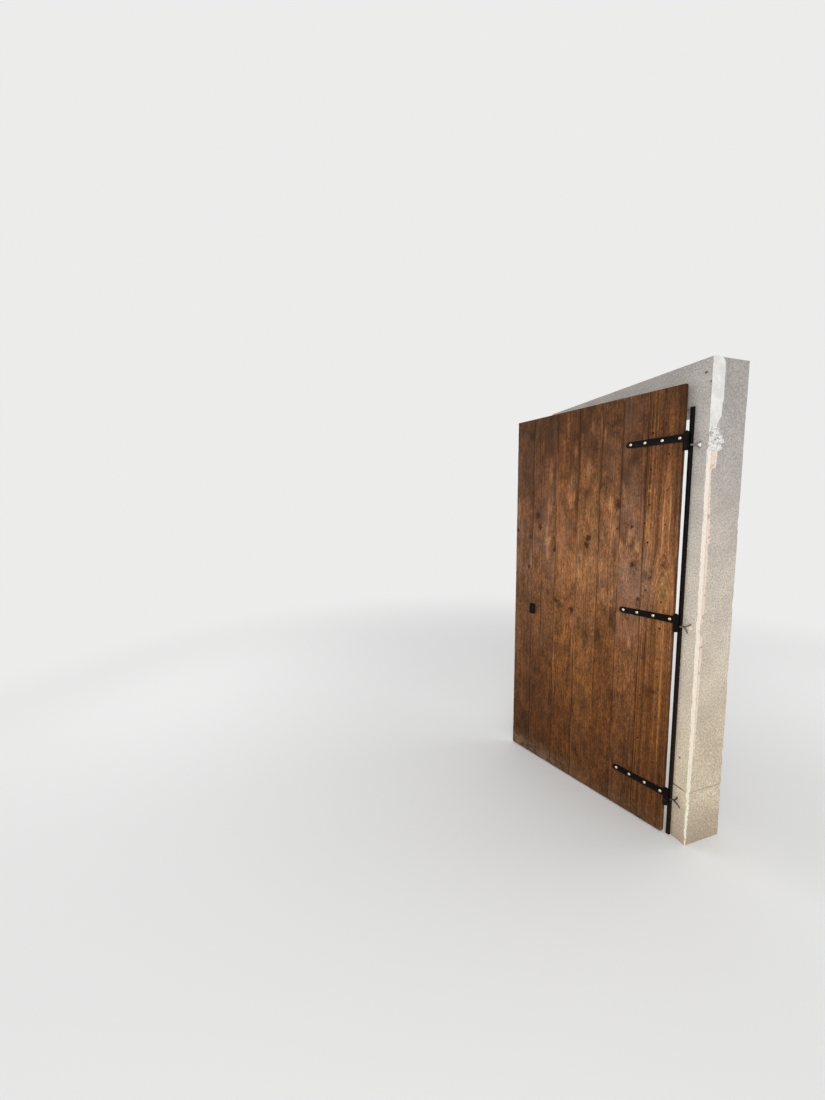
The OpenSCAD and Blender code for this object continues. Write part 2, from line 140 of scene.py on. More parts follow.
class Finish:
    """A material, with one short call for each kind of node. Calls return the node's output."""

    def __init__(self, name):
        self.material = bpy.data.materials.new(name)
        self.material.use_nodes = True
        self.tree = self.material.node_tree
        self.shader = self.tree.nodes["Principled BSDF"]

    def give(self, socket, value):
        if isinstance(value, bpy.types.NodeSocket):
            self.tree.links.new(value, socket)
        else:
            socket.default_value = value

    def put(self, kind, inputs, output=0, **settings):
        node = self.tree.nodes.new("ShaderNode" + kind)
        for key, value in settings.items():
            setattr(node, key, value)
        for key, value in inputs.items():
            self.give(node.inputs[key], value)
        return node.outputs[output]

    def here(self):
        """Place on the object, in metres"""
        return self.put("TexCoord", {}, output=3)

    def on_bench(self):
        """Place on the closed leaf, in metres, wherever the leaf stands"""
        return self.put("Mapping", {0: self.here(), 1: unswing.to_translation(),
                                    2: unswing.to_euler()})

    def axis(self, vector, index):
        return self.put("SeparateXYZ", {0: vector}, output=index)

    def math(self, operation, a, b=0.0):
        return self.put("Math", {0: a, 1: b}, operation=operation)

    def total(self, first, *others):
        for other in others:
            first = self.math("ADD", first, other)
        return first

    def product(self, first, *others):
        for other in others:
            first = self.math("MULTIPLY", first, other)
        return first

    def noise(self, vector, scale=1.0, detail=3.0, seed=0.0, roughness=0.5):
        return self.put("TexNoise", {"Vector": vector, "W": seed, "Scale": scale,
                                     "Detail": detail, "Roughness": roughness},
                        noise_dimensions="4D")

    def sway(self, value, reach):
        """Moves by up to half a reach either way, as a value goes from 0 to 1"""
        return self.product(self.math("SUBTRACT", value, 0.5), reach)

    def stretch(self, vector, x, y, z):
        return self.put("VectorMath", {0: vector, 1: (x, y, z)}, operation="MULTIPLY")

    def ease(self, value, start, end, low=0.0, high=1.0):
        """low up to start, high from end on, and a smooth change between them"""
        return self.put("MapRange", {0: value, 1: start, 2: end, 3: low, 4: high},
                        interpolation_type="SMOOTHSTEP")

    def mix(self, a, b, share, blend="MIX"):
        return self.put("Mix", {0: share, 6: a, 7: b}, output=2, data_type="RGBA",
                        blend_type=blend)

    def ramp(self, value, *stops):
        """Colour that runs through stops of (place from 0 to 1, colour from 0 to 255)"""
        node = self.put("ValToRGB", {0: value}).node
        stop_list = node.color_ramp.elements
        while len(stop_list) < len(stops):
            stop_list.new(1.0)
        for stop, (place, colour) in zip(stop_list, stops):
            stop.position, stop.color = place, srgb(*colour)
        return node.outputs[0]

    def dim(self, colour, factor):
        if isinstance(colour, tuple):
            colour = colour[:3]
        return self.put("VectorMath", {0: colour, 3: factor}, operation="SCALE")

    def relief(self, height, depth):
        """Bump of a height from 0 to 1 that stands for a depth in metres"""
        return self.put("Bump", {"Height": height, "Distance": depth, "Strength": 1.0})

    def nearest(self, at, places, seed, fray=3.2):
        """Ragged distance to the nearest of some places (point, width, height): 1 at its rim"""
        least = 9.0
        for number, (point, wide, tall) in enumerate(places):
            away = self.put("VectorMath", {0: at, 1: point}, operation="SUBTRACT")
            away = self.stretch(away, 2 / wide, 0.5 / wide, 2 / tall)
            ragged = self.sway(self.noise(away, 1.3, 4, seed=seed + number), fray)
            length = self.put("VectorMath", {0: away}, output=1, operation="LENGTH")
            least = self.math("MINIMUM", least, self.total(length, ragged))
        return least

    def surface(self, **sockets):
        """Ends the recipe: what goes into the shader, with _ for a space"""
        for key, value in sockets.items():
            self.give(self.shader.inputs[key.replace("_", " ")], value)
        return self.material


print("materials can be written as recipes")

# %% [markdown]
# The studio is a wide pale floor under an even white sky, with one broad lamp on the camera's
# side so that edges and screw heads catch some light. The sky that lights the door is dimmer
# than the one the camera sees, so the background stays pale while colours keep their value.

# %% Floor, sky and lamps
SKY_SEEN, SKY_LIGHT = (0.84, 0.84, 0.835, 1.0), (0.98, 0.99, 1.0, 1.0)
SKY_STRENGTH = 0.62
FLOOR_RADIUS, HAZE_START, HAZE_END = 60.0, 1.4, 5.5

bpy.context.scene.view_settings.view_transform = "Standard"
world = bpy.data.worlds.new("sky")
bpy.context.scene.world = world
world.use_nodes = True
sky = world.node_tree
backdrop = sky.nodes["Background"]
backdrop.inputs[0].default_value = SKY_LIGHT
backdrop.inputs[1].default_value = SKY_STRENGTH
seen = sky.nodes.new("ShaderNodeBackground")
seen.inputs[0].default_value = SKY_SEEN
paths = sky.nodes.new("ShaderNodeLightPath")
choose = sky.nodes.new("ShaderNodeMixShader")


def either(a, b):
    """1 where one of two kinds of ray arrives, and 0 elsewhere"""
    node = sky.nodes.new("ShaderNodeMath")
    node.operation = "MAXIMUM"
    sky.links.new(a, node.inputs[0])
    sky.links.new(b, node.inputs[1])
    return node.outputs[0]


camera_ray, glossy_ray, transmission_ray = (
    paths.outputs[kind + " Ray"] for kind in ("Is Camera", "Is Glossy", "Is Transmission"))
sky.links.new(either(either(camera_ray, glossy_ray), transmission_ray), choose.inputs[0])
sky.links.new(backdrop.outputs[0], choose.inputs[1])
sky.links.new(seen.outputs[0], choose.inputs[2])
sky.links.new(choose.outputs[0], sky.nodes["World Output"].inputs[0])


def lamp(name, place, aim, size, power):
    light = bpy.data.lights.new(name, "AREA")
    light.size, light.energy = size, power
    holder = bpy.data.objects.new(name, light)
    direction = Vector(aim) - Vector(place)
    holder.matrix_world = (Matrix.Translation(place)
                           @ direction.to_track_quat("-Z", "Y").to_matrix().to_4x4())
    bpy.context.scene.collection.objects.link(holder)


lamp("key_lamp", (3.3, -2.6, 2.9), (0.2, 0.0, 1.1), size=2.2, power=72)
lamp("fill_lamp", (-2.4, -3.2, 2.2), (0.0, 0.0, 1.0), size=2.6, power=34)
lamp("back_lamp", (0.6, 3.6, 2.6), (0.0, 0.1, 1.1), size=2.4, power=40)

floor_bm = bmesh.new()
bmesh.ops.create_circle(floor_bm, cap_ends=True, segments=64, radius=FLOOR_RADIUS)
floor_mesh = bpy.data.meshes.new("floor")
floor_bm.to_mesh(floor_mesh)
floor_bm.free()
floor = bpy.data.objects.new("floor", floor_mesh)
bpy.context.scene.collection.objects.link(floor)
floor_paint = Finish("floor_paint")
floor_mesh.materials.append(floor_paint.surface(Base_Color=(0.80, 0.80, 0.79, 1.0),
                                                Roughness=0.9))
far_off = floor_paint.put("VectorMath", {0: floor_paint.here()}, output=1, operation="LENGTH")
haze = floor_paint.put("Emission", {"Color": SKY_SEEN})
faded = floor_paint.put("MixShader", {0: floor_paint.ease(far_off, HAZE_START, HAZE_END),
                                      1: floor_paint.shader.outputs[0], 2: haze})
floor_paint.give(floor_paint.tree.nodes["Material Output"].inputs[0], faded)
print("studio ready")

# %% [markdown]
# Cut stone is never one grey. Fine sand gives it a speckle, damp and dirt give it slow clouds,
# and small pits hold shadow. Here the stone is cooler under the lintel and warmer and yellower
# towards the floor, so its colour also follows the height. The cream lime of the outer sides
# laps a few millimetres round the arris, so the stone's recipe paints that edge too.

# %% Stone
HEAD_X, OPENING_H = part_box("lintel")[1].x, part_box("lintel")[0].z
FOOT_X, _, PLINTH_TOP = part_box("near_plinth")[1]
COAT_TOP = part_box("near_side_render")[1].z
PITS = [(Vector((0.492, 0, 2.126)), 0.013, 0.010), (Vector((0.479, 0, 0.402)), 0.012, 0.010),
        (Vector((0.516, 0, 2.083)), 0.009, 0.010), (Vector((-0.470, 0, 1.310)), 0.010, 0.009)]
DAMP = [(Vector((0.486, 0, 0.192)), 0.030, 0.042), (Vector((-0.480, 0, 0.090)), 0.060, 0.080)]


def lime_by_height(f, z):
    """Cream lime, pinker near the head and yellower near the floor"""
    return f.ramp(f.math("DIVIDE", z, COAT_TOP), (0.00, (255, 250, 228)),
                  (0.12, (255, 250, 225)), (0.25, (253, 244, 221)),
                  (0.55, (250, 239, 223)), (1.00, (246, 235, 224)))


def stone_finish(name):
    f = Finish(name)
    at = f.here()
    z = f.axis(at, 2)
    by_height = f.ramp(f.math("DIVIDE", z, cad_box[1].z),
                       (0.00, (190, 172, 150)), (0.045, (202, 184, 160)),
                       (0.10, (223, 207, 181)), (0.20, (216, 200, 174)),
                       (0.45, (219, 206, 189)), (0.62, (203, 193, 180)),
                       (0.80, (188, 181, 174)), (1.00, (169, 163, 158)))
    clouds = f.noise(at, 7, 4, seed=1.0)
    speckle = f.noise(at, 330, 2, seed=2.0)
    grit = f.noise(at, 130, 3, seed=3.0, roughness=0.7)
    pits = f.ease(f.put("TexVoronoi", {"Vector": at, "Scale": 60.0}), 0.05, 0.14)
    rare = f.ease(f.noise(at, 16, 1, seed=4.0), 0.58, 0.63, 1.0, 0.0)
    open_pits = f.math("MAXIMUM", pits, rare)
    shade = f.product(
        f.ease(clouds, 0.3, 0.7, 0.90, 1.07), f.ease(speckle, 0.3, 0.7, 0.70, 1.24),
        f.ease(grit, 0.34, 0.66, 0.75, 1.15), f.ease(open_pits, 0.0, 1.0, 0.5, 1.0),
        f.ease(f.nearest(at, PITS, 12.0), 0.6, 1.3, 0.25, 1.0),
        f.ease(f.nearest(at, DAMP, 15.0), 0.5, 1.3, 0.89, 1.0))
    off_joint = f.math("ABSOLUTE", f.total(z, -PLINTH_TOP, f.sway(clouds, 0.006)))
    joint = f.product(f.ease(off_joint, 0.0020, 0.0050, 0.85, 0.0),
                      f.ease(f.math("ABSOLUTE", f.axis(at, 0)), 0.488, 0.518, 1.0, 0.35))
    colour = f.mix(f.dim(by_height, shade), srgb(72, 58, 46), joint)

    lean = f.product(f.math("SUBTRACT", OPENING_H, z), (FOOT_X - HEAD_X) / OPENING_H)
    side = f.total(f.math("MAXIMUM", lean, 0.0), HEAD_X)
    inside = f.math("SUBTRACT", side, f.math("ABSOLUTE", f.axis(at, 0)))
    torn = f.sway(f.noise(at, 45, 3, seed=5.0),
                  f.ease(z, PLINTH_TOP, PLINTH_TOP + 0.01, 0.020, 0.009))
    lapped = f.product(f.ease(f.total(inside, torn), 0.0035, 0.0055, 0.9, 0.0),
                       f.ease(f.axis(at, 1), 0.003, 0.006, 1.0, 0.0),
                       f.ease(z, COAT_TOP, COAT_TOP + 0.02, 1.0, 0.0))
    colour = f.mix(colour, lime_by_height(f, z), lapped)
    height = f.product(f.total(speckle, grit), open_pits)
    return f.surface(Base_Color=colour, Roughness=f.ease(grit, 0.3, 0.7, 0.72, 0.95),
                     Specular_IOR_Level=0.2, Normal=f.relief(height, 0.0012))


stone = stone_finish("stone")
print("stone")

# %% [markdown]
# The outer sides of the stones carry three coats. At the head it is smooth white lime, below it
# a patch of broken mortar, and then a thin cream coat. Two strokes of the trowel laid the cream
# one, so a pink seam of dust runs down its middle, and its back edge is spotted red. All three
# share one lumpy surface and differ in colour and depth, and in each the hollows between the
# lumps get painted shade, darkest in the broken mortar.

# %% Lime coats
def lime_surface(f, at, colour, grain, painted_hollow_shade, depth):
    """Lumpy lime of a colour with painted shade in its hollows: the argument after grain is how dark that shade
    is, depth how deep the hollows are
    """
    lumps = f.noise(at, grain, 4, seed=7.0, roughness=0.65)
    sand = f.noise(at, 430, 2, seed=8.0)
    # painted shade: the colour is darkened where the lumps dip
    shade = f.product(f.ease(lumps, 0.32, 0.55, 1 - painted_hollow_shade, 1.0),
                      f.ease(sand, 0.3, 0.7, 0.90, 1.05))
    height = f.total(lumps, f.product(sand, 0.3))
    return f.surface(Base_Color=f.dim(colour, shade), Roughness=0.92, Specular_IOR_Level=0.25,
                     Normal=f.relief(height, depth))


def white_finish(name):
    f = Finish(name)
    at = f.here()
    grey = f.ease(f.noise(at, 24, 3, seed=6.0), 0.35, 0.65)
    colour = f.mix(srgb(238, 236, 232), srgb(222, 220, 217), grey)
    return lime_surface(f, at, colour, grain=60, painted_hollow_shade=0.07, depth=0.001)


def mortar_finish(name):
    f = Finish(name)
    at = f.here()
    dirty = f.ease(f.noise(at, 50, 4, seed=6.5), 0.52, 0.66)
    colour = f.mix(srgb(248, 247, 243), srgb(190, 182, 170), dirty)
    return lime_surface(f, at, colour, grain=130, painted_hollow_shade=0.70, depth=0.005)


def cream_finish(name):
    f = Finish(name)
    at = f.here()
    y = f.total(f.axis(at, 1), f.sway(f.noise(at, 38, 3, seed=5.0), 0.010))
    seam = f.product(f.ease(y, 0.014, 0.017), f.ease(y, 0.019, 0.023, 0.7, 0.0))
    blush = f.math("MAXIMUM", seam, f.ease(y, 0.019, 0.026, 0.0, 0.35))
    colour = f.mix(lime_by_height(f, f.axis(at, 2)), srgb(222, 184, 156), blush)
    spots = f.product(f.ease(f.noise(at, 32, 4, seed=6.0), 0.60, 0.68),
                      f.ease(y, 0.008, 0.030, 0.0, 0.8))
    colour = f.mix(colour, srgb(160, 88, 62), spots)
    return lime_surface(f, at, colour, grain=90, painted_hollow_shade=0.14, depth=0.002)


def dab_finish(name):
    """Whiter on the top tie, creamier on the one at half height"""
    f = Finish(name)
    at = f.here()
    colour = f.mix(srgb(250, 242, 220), srgb(254, 253, 250), f.ease(f.axis(at, 2), 1.2, 1.6))
    return lime_surface(f, at, colour, grain=140, painted_hollow_shade=0.25, depth=0.002)


white_lime = white_finish("white_render")
dab_lime = dab_finish("dab_render")
rough_mortar = mortar_finish("mortar")
cream_lime = cream_finish("cream_render")
print("lime coats")

# %% [markdown]
# Wood is the finish that shows most. A board is a slice through a trunk, and its figure is what
# the slice makes of the growth rings: arches where it passes near the heart, straight lines
# where it doesn't. So the recipe measures each point's distance from a heart line that wanders
# along the board, and turns that distance into rings. A knot bends the rings round itself.
# Stain, knots, scuffs and smudges come on top.

# %% Wood: rings, knots and marks
RING, WANDER = 3.6 * MM, 46 * MM


def times(colour, factor):
    return (*[channel * factor for channel in colour[:3]], 1.0)


def along(f, at, across, up, detail, seed, roughness=0.5):
    """Noise that repeats so often in a metre across the grain, and so often up it"""
    return f.noise(f.stretch(at, across, across, up), 1, detail, seed, roughness)


def rings_of(f, at, heart, arch, ring, seed):
    """Number of growth rings between the heart line and each point"""
    wander = 0.25 * WANDER if arch else WANDER
    side = f.total(f.axis(at, 0), -heart[0], f.sway(along(f, at, 4, 1.0, 2, seed), wander))
    depth = f.total(f.axis(at, 1), heart[1] - leaf_lo.y,
                    f.sway(along(f, at, 1.6, 1.2, 1, seed + 7), 2.5 * wander))
    if arch:
        low, high, climb = arch
        depth = f.total(depth, f.ease(f.axis(at, 2), low * MM, high * MM, 0.0, climb * MM))
    radius = f.math("SQRT", f.total(f.product(side, side), f.product(depth, depth)))
    return f.math("DIVIDE", radius, ring)


def ragged_marks(f, bench, marks, seed, fray=3.2):
    """Distance to the nearest of some marks (s, z, width, height) in mm: 1 at its rim"""
    places = [(on_leaf(s, z), wide * MM, tall * MM) for s, z, wide, tall in marks]
    return f.nearest(bench, places, seed, fray)


# %% [markdown]
# Years change a door unevenly, and some painted light is mixed in with them. A pale veil over
# its middle is partly a bloom of the finish and partly a painted sheen, smoke and painted shade
# darken its top, and swept dust and painted shade darken its foot. Along the joints there is
# dirt, which turns to a wide smear where smoke crept in, and here and there an arris is rubbed
# pale.

# %% Wood: what age does, with painted light
# Multiplied over the leaf by height, lightest at about 1.3 m. Partly weathering and partly painted light: a
# painted sheen over the middle and painted shade towards the top and the foot.
AGE_AND_PAINTED_LIGHT = ((0.00, (172, 162, 140)), (0.11, (184, 170, 146)), (0.31, (218, 206, 180)),
       (0.48, (242, 238, 228)), (0.60, (255, 255, 255)), (0.72, (244, 240, 236)),
       (0.84, (204, 196, 188)), (0.97, (176, 168, 156)))


def aged_with_painted_light(f, colour, at, bench, stain, shade, bloom, seed):
    z = f.axis(bench, 2)
    # a pale veil above half a metre, partly a bloom of the finish and partly a painted sheen
    haze = f.product(f.ease(along(f, at, 12, 5, 3, seed + 6), 0.46, 0.66, 0.0, bloom),
                     f.ease(z, 0.5, 1.1))
    colour = f.mix(colour, srgb(142, 110, 92), haze)
    smoke = f.product(f.ease(along(f, at, 16, 6, 3, seed + 13), 0.50, 0.66),
                      f.ease(z, 1.2, 2.0, 0.22, 0.5))
    colour = f.mix(colour, times(stain, 0.34), smoke)
    # painted light with weathering: the height ramp lightens the middle and paints shade towards the top and the
    # foot
    colour = f.mix(colour, f.ramp(f.math("DIVIDE", z, leaf_hi.z), *AGE_AND_PAINTED_LIGHT), 1.0, "MULTIPLY")
    swept = f.ease(f.axis(bench, 0), on_leaf(150, 0).x, on_leaf(650, 0).x, 1.0, 0.35)
    dust = f.product(f.ease(z, 0.03, 0.13, 0.95, 0.0), swept,
                     f.ease(f.noise(at, 40, 3, seed=seed + 10), 0.30, 0.62, 0.25, 1.0))
    return f.mix(colour, f.dim(srgb(112, 88, 64), shade), dust)


def worn_edges(f, colour, at, bench, stain, edges, seed):
    x, z = f.axis(bench, 0), f.axis(bench, 2)
    near = f.math("MINIMUM", *[f.math("ABSOLUTE", f.math("SUBTRACT", x, edge)) for edge in edges])
    hand = along(f, at, 14, 3.0, 2, seed + 9)
    smear = f.product(f.ease(near, 0.002, 0.014, 0.5, 0.0), f.ease(z, 1.25, 1.8),
                      f.ease(hand, 0.34, 0.52))
    dirt = f.product(f.ease(near, 0.001, 0.005, 1.0, 0.0), f.ease(z, 1.1, 1.7, 0.45, 0.68),
                     f.ease(hand, 0.44, 0.58, 0.2, 1.0))
    colour = f.mix(colour, times(stain, 0.16), f.math("MAXIMUM", smear, dirt))
    rubbed = f.product(f.ease(near, 0.0, 0.006, 0.5, 0.0), f.ease(hand, 0.34, 0.42, 1.0, 0.0))
    return f.mix(colour, srgb(176, 134, 98), rubbed)


# %% [markdown]
# The whole recipe goes from the tree outwards: first the rings and the streaks between them,
# then fibres and flecks, then the marks of use, and last what age did, with painted light mixed
# into it. The timbers at the back lean, because braces do, and a turn of the coordinates keeps
# their grain along them.

# %% Wood: the whole recipe
def wood_finish(name, stain, heart, knots=(), smudges=(), scuffs=(), dusty=(), seed=0.0,
                edges=None, lean=0.0, arch=None, ring=RING, figure=1.0, blotch=1.0, bloom=0.25,
                pale_tone=(196, 152, 114)):
    """heart is where the trunk's middle lies, in metres: to the side, and behind the face"""
    f = Finish(name)
    at = bench = f.on_bench()
    stain = srgb(*stain)
    if lean:
        at = f.put("VectorRotate", {"Vector": at, "Angle": -radians(lean)}, rotation_type="Y_AXIS")
    rings = rings_of(f, at, heart, arch, ring, seed)
    if knots:
        to_knot = ragged_marks(f, bench, knots, seed)
        rings = f.total(rings, f.ease(to_knot, 0.0, 2.6, 3.0, 0.0))
    late = f.math("POWER", f.math("FRACT", rings), 2.5)
    bands = f.put("TexNoise", {"W": rings, "Scale": 0.5, "Detail": 3.0, "Roughness": 0.7},
                  noise_dimensions="1D")

    streaks = along(f, at, 60, 1.8, 4, seed + 3, 0.65)
    mottle = along(f, at, 50, 17, 4, seed + 8, 0.7)
    grain = f.total(f.ease(bands, 0.3, 0.7, 0.5 - 0.15 * figure, 0.5 + 0.17 * figure),
                    f.product(late, -0.14 * figure), f.ease(streaks, 0.3, 0.7, -0.12, 0.16),
                    f.ease(mottle, 0.3, 0.7, -0.28 * blotch, 0.32 * blotch))
    colour = f.mix(times(stain, 0.38), times(stain, 1.58), grain)

    fibre = along(f, at, 560, 22, 2, seed + 4)
    flecks = along(f, at, 150, 55, 4, seed + 12, 0.8)
    clouds = along(f, at, 12, 7, 5, seed + 5, 0.7)
    shade = f.product(f.ease(fibre, 0.25, 0.75, 0.84, 1.16),
                      f.ease(clouds, 0.32, 0.68, 1 - 0.28 * blotch, 1 + 0.25 * blotch),
                      f.ease(flecks, 0.34, 0.66, 0.56, 1.46))
    colour = f.dim(colour, shade)
    if scuffs:
        pale = f.product(
            f.ease(ragged_marks(f, bench, scuffs, seed + 0.5, 3.0), 0.2, 1.7, 1.0, 0.0),
            f.ease(mottle, 0.36, 0.56, 0.4, 1.0))
        colour = f.dim(colour, f.total(f.product(pale, 0.52), 1.0))
        colour = f.mix(colour, times(srgb(*pale_tone), 1.2), f.product(pale, 0.25))
    if dusty:
        veil = f.ease(ragged_marks(f, bench, dusty, seed + 1.5), 0.3, 1.6, 0.6, 0.0)
        colour = f.mix(colour, f.dim(srgb(140, 106, 86), shade), veil)
    if smudges:
        smudge = f.ease(ragged_marks(f, bench, smudges, seed + 2.5), 0.2, 1.5, 0.62, 0.0)
        colour = f.mix(colour, f.dim(times(stain, 0.28), shade), smudge)
    if edges:
        colour = aged_with_painted_light(f, colour, at, bench, stain, shade, bloom, seed)
        colour = worn_edges(f, colour, at, bench, stain, edges, seed)
    relief = f.total(f.product(late, 0.4), f.product(fibre, 0.7),
                     f.product(f.total(mottle, flecks), 0.5))
    if knots:
        knot = f.ease(to_knot, 0.5, 1.5, 0.9, 0.0)
        colour = f.mix(colour, times(srgb(104, 64, 38), 0.26), knot)
        relief = f.math("SUBTRACT", relief, f.product(knot, 0.6))
    return f.surface(Base_Color=colour, Roughness=f.ease(mottle, 0.3, 0.7, 0.50, 0.72),
                     Specular_IOR_Level=0.10, Normal=f.relief(relief, 0.0009))


FACE_DEPTH = 3 * MM


def face_edges(name):
    """Where a board's face starts and ends, without its tongue"""
    points = [unswing @ v.co for v in nodes[name].data.vertices]
    face = [p.x for p in points if p.y < leaf_lo.y + FACE_DEPTH]
    return min(face), max(face)


print("boards' faces:", {name: round(1000 * (face_edges(name)[1] - face_edges(name)[0]), 1)
                         for name in BOARDS})

# %% [markdown]
# Each board came from its own trunk, so each gets its own stain, heart line and knots. Knots and
# pale scuffs are read off the door, in millimetres from its free edge and above the floor. The
# board at the hinge edge is the most orange, and arches of its rings stand over the middle strap.

# %% The nine lengths of board
# bloom is how strongly each board's middle is veiled pale, partly a bloom of the finish and partly a painted sheen
board_wood = {
    "board_1": dict(stain=(117, 80, 54), heart=(60, 30), seed=11.0, bloom=0.32,
                    knots=[(105, 1205, 18, 24), (12, 1430, 22, 20)],
                    smudges=[(108, 2004, 50, 60), (82, 228, 34, 90), (114, 1390, 40, 30)],
                    scuffs=[(118, 1255, 12, 110), (22, 1560, 20, 160)]),
    "board_2": dict(stain=(120, 80, 51), heart=(-40, 45), seed=23.0, bloom=0.22,
                    knots=[(183, 1456, 24, 34), (162, 1520, 24, 34), (286, 1330, 20, 32)],
                    smudges=[(172, 1500, 66, 110), (166, 1374, 90, 40), (200, 868, 24, 40),
                             (274, 628, 18, 44), (161, 445, 24, 60)],
                    scuffs=[(248, 1770, 32, 190), (247, 1600, 28, 170), (236, 1380, 30, 170)]),
    "board_3_upper": dict(stain=(138, 91, 54), heart=(10, 40), seed=31.0, bloom=0.2,
                          smudges=[(408, 1952, 34, 50), (420, 1600, 20, 160)],
                          scuffs=[(333, 1925, 16, 90), (357, 1995, 14, 90), (408, 1880, 18, 60),
                                  (385, 1660, 36, 170)]),
    "board_3_lower": dict(stain=(134, 89, 53), heart=(120, 40), seed=37.0, bloom=0.1,
                          knots=[(410, 992, 30, 34), (305, 1028, 20, 26)],
                          smudges=[(320, 1010, 60, 60), (425, 880, 14, 60)],
                          scuffs=[(296, 730, 12, 260), (416, 800, 8, 160)]),
    "board_4": dict(stain=(139, 95, 59), heart=(30, 35), seed=41.0, bloom=0.15,
                    knots=[(497, 1402, 30, 32), (487, 1370, 22, 40)],
                    smudges=[(493, 872, 42, 110), (478, 1640, 40, 50), (445, 1985, 36, 70),
                             (519, 1870, 24, 90)],
                    scuffs=[(486, 1776, 22, 100), (500, 1995, 22, 120), (443, 1212, 14, 100),
                            (432, 760, 8, 160)]),
    "board_5_upper": dict(stain=(136, 93, 60), heart=(-20, 50), seed=53.0, bloom=0.25,
                          knots=[(648, 1577, 28, 46), (650, 1458, 10, 12)],
                          smudges=[(633, 1995, 56, 70), (645, 1350, 30, 120)],
                          scuffs=[(612, 1600, 16, 80), (571, 1950, 14, 100), (640, 1135, 9, 70)]),
    "board_5_lower": dict(stain=(128, 85, 52), heart=(90, 40), seed=59.0, bloom=0.2,
                          smudges=[(646, 985, 40, 110), (575, 870, 50, 120)],
                          scuffs=[(620, 1040, 14, 40)]),
    "board_6": dict(stain=(132, 90, 60), heart=(0, 45), seed=61.0, bloom=0.32,
                    knots=[(733, 1283, 16, 24), (770, 1117, 18, 20), (724, 1470, 14, 14)],
                    smudges=[(740, 1270, 50, 60), (718, 1480, 50, 30), (770, 1105, 40, 50),
                             (722, 1806, 60, 60)],
                    scuffs=[(716, 1425, 18, 60), (752, 1372, 22, 60), (766, 292, 14, 60),
                            (774, 75, 5, 150), (735, 885, 14, 60), (676, 1350, 20, 80)],
                    dusty=[(720, 1180, 110, 260), (720, 1620, 110, 160)]),
    "board_7": dict(stain=(138, 92, 55), heart=(98, 12), seed=71.0, bloom=0.1, blotch=0.45,
                    arch=(960, 1420, 46), ring=6 * MM, figure=2.8, pale_tone=(205, 160, 100),
                    smudges=[(835, 677, 60, 60), (800, 1235, 50, 60)],
                    scuffs=[(880, 1190, 56, 160), (864, 1480, 6, 240), (893, 1500, 6, 300),
                            (890, 600, 9, 420), (800, 1640, 14, 14), (824, 1631, 7, 8),
                            (795, 1470, 14, 120), (812, 1400, 8, 90)],
                    dusty=[(796, 1210, 66, 360)]),
}


def board_finish(name, heart, **recipe):
    """A board's wood. heart is in mm, from where the board starts and behind its face"""
    start, end = face_edges(name)
    return wood_finish(name + "_wood", heart=(start + heart[0] * MM, heart[1] * MM),
                       edges=(start, end), **recipe)


board_finishes = {name: board_finish(name, **recipe) for name, recipe in board_wood.items()}


def lean_of(name):
    """Angle from upright, towards the hinge edge, of a timber's longest edges"""
    mesh = nodes[name].data
    ends = [[unswing @ mesh.vertices[i].co for i in edge.vertices] for edge in mesh.edges]
    flat = [(b - a) for a, b in ends if abs((b - a).y) < MM]
    longest = max(flat, key=lambda run: run.length)
    return degrees(atan2(longest.x, longest.z))


BACK_TIMBERS = ("ledge_top", "ledge_middle", "ledge_bottom", "brace_upper", "brace_lower")
back_finishes = {}
for number, name in enumerate(BACK_TIMBERS):
    back_finishes[name] = wood_finish(name + "_wood", (136, 106, 78), heart=(0.3, 0.06),
                                      seed=83.0 + 9 * number, lean=lean_of(name))
print(f"{len(board_finishes)} board finishes")

# %% [markdown]
# The ironwork is painted black, but never evenly: the brush leaves faint ridges, and corners
# wear through to a dull grey. The bar has rusted through its paint towards the floor. Screws
# are bare pale metal, and the ties are zinc, which is duller and browner nearer the damp floor.
# Bare metals get their look from what they mirror, so a roughness that varies is most of the
# recipe.

# %% Metals
def iron_finish(name, *tones):
    """Black paint whose tone may follow the height, as pairs of (height in metres, colour)"""
    f = Finish(name)
    at = f.here()
    brush = f.noise(at, 90, 3, seed=1.5)
    worn = f.ease(f.noise(at, 34, 4, seed=2.5), 0.60, 0.74, 0.0, 0.5)
    paint = f.ramp(f.math("DIVIDE", f.axis(at, 2), cad_box[1].z),
                   *[(z / cad_box[1].z, colour) for z, colour in tones])
    return f.surface(Base_Color=f.mix(paint, srgb(50, 43, 38), worn),
                     Roughness=f.ease(brush, 0.3, 0.7, 0.36, 0.58),
                     Specular_IOR_Level=0.08, Normal=f.relief(brush, 0.0006))


def bare_metal_finish(name, bright, dull, low, high, metallic=0.85):
    f = Finish(name)
    at = f.here()
    bloom = f.noise(at, 160, 4, seed=3.5)
    return f.surface(Base_Color=f.mix(bright, dull, f.ease(bloom, 0.35, 0.65)), Metallic=metallic,
                     Roughness=f.ease(bloom, 0.3, 0.7, low, high), Normal=f.relief(bloom, 0.0003))


